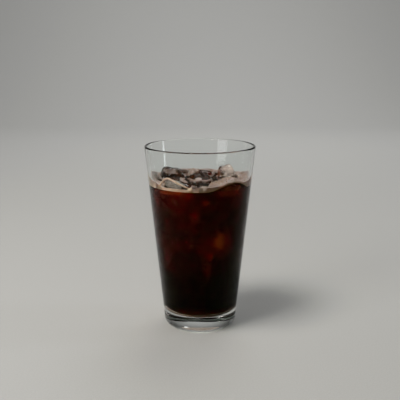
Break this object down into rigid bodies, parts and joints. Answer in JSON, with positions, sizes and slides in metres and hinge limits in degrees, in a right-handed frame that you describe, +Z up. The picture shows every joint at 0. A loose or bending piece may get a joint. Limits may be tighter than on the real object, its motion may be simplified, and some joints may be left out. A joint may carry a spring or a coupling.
{
  "type": "iced espresso in a glass",
  "caption": "Tall tapered glass of black iced coffee, with melting ice cubes standing up through a layer of beige crema.",
  "frame": {"origin": "middle of the glass's foot, on the table", "axes": "+Z up along the glass's axis, the front of the drink faces -Y"},
  "size_m": [0.0886, 0.0886, 0.149],
  "materials": {
    "clear_glass": "clear polished soda-lime glass",
    "black_coffee": "clear, very dark red-brown coffee",
    "beige_crema": "fine wet foam with some larger bubbles",
    "clear_ice": "wet melting ice"
  },
  "bodies": {
    "root": {"tumbler": "clear_glass", "coffee": "black_coffee", "crema": "beige_crema", "ice_front_left": "clear_ice", "ice_front_right": "clear_ice", "ice_right_peak": "clear_ice", "ice_back_left": "clear_ice", "ice_middle": "clear_ice", "ice_back": "clear_ice"}
  },
  "joints": []
}
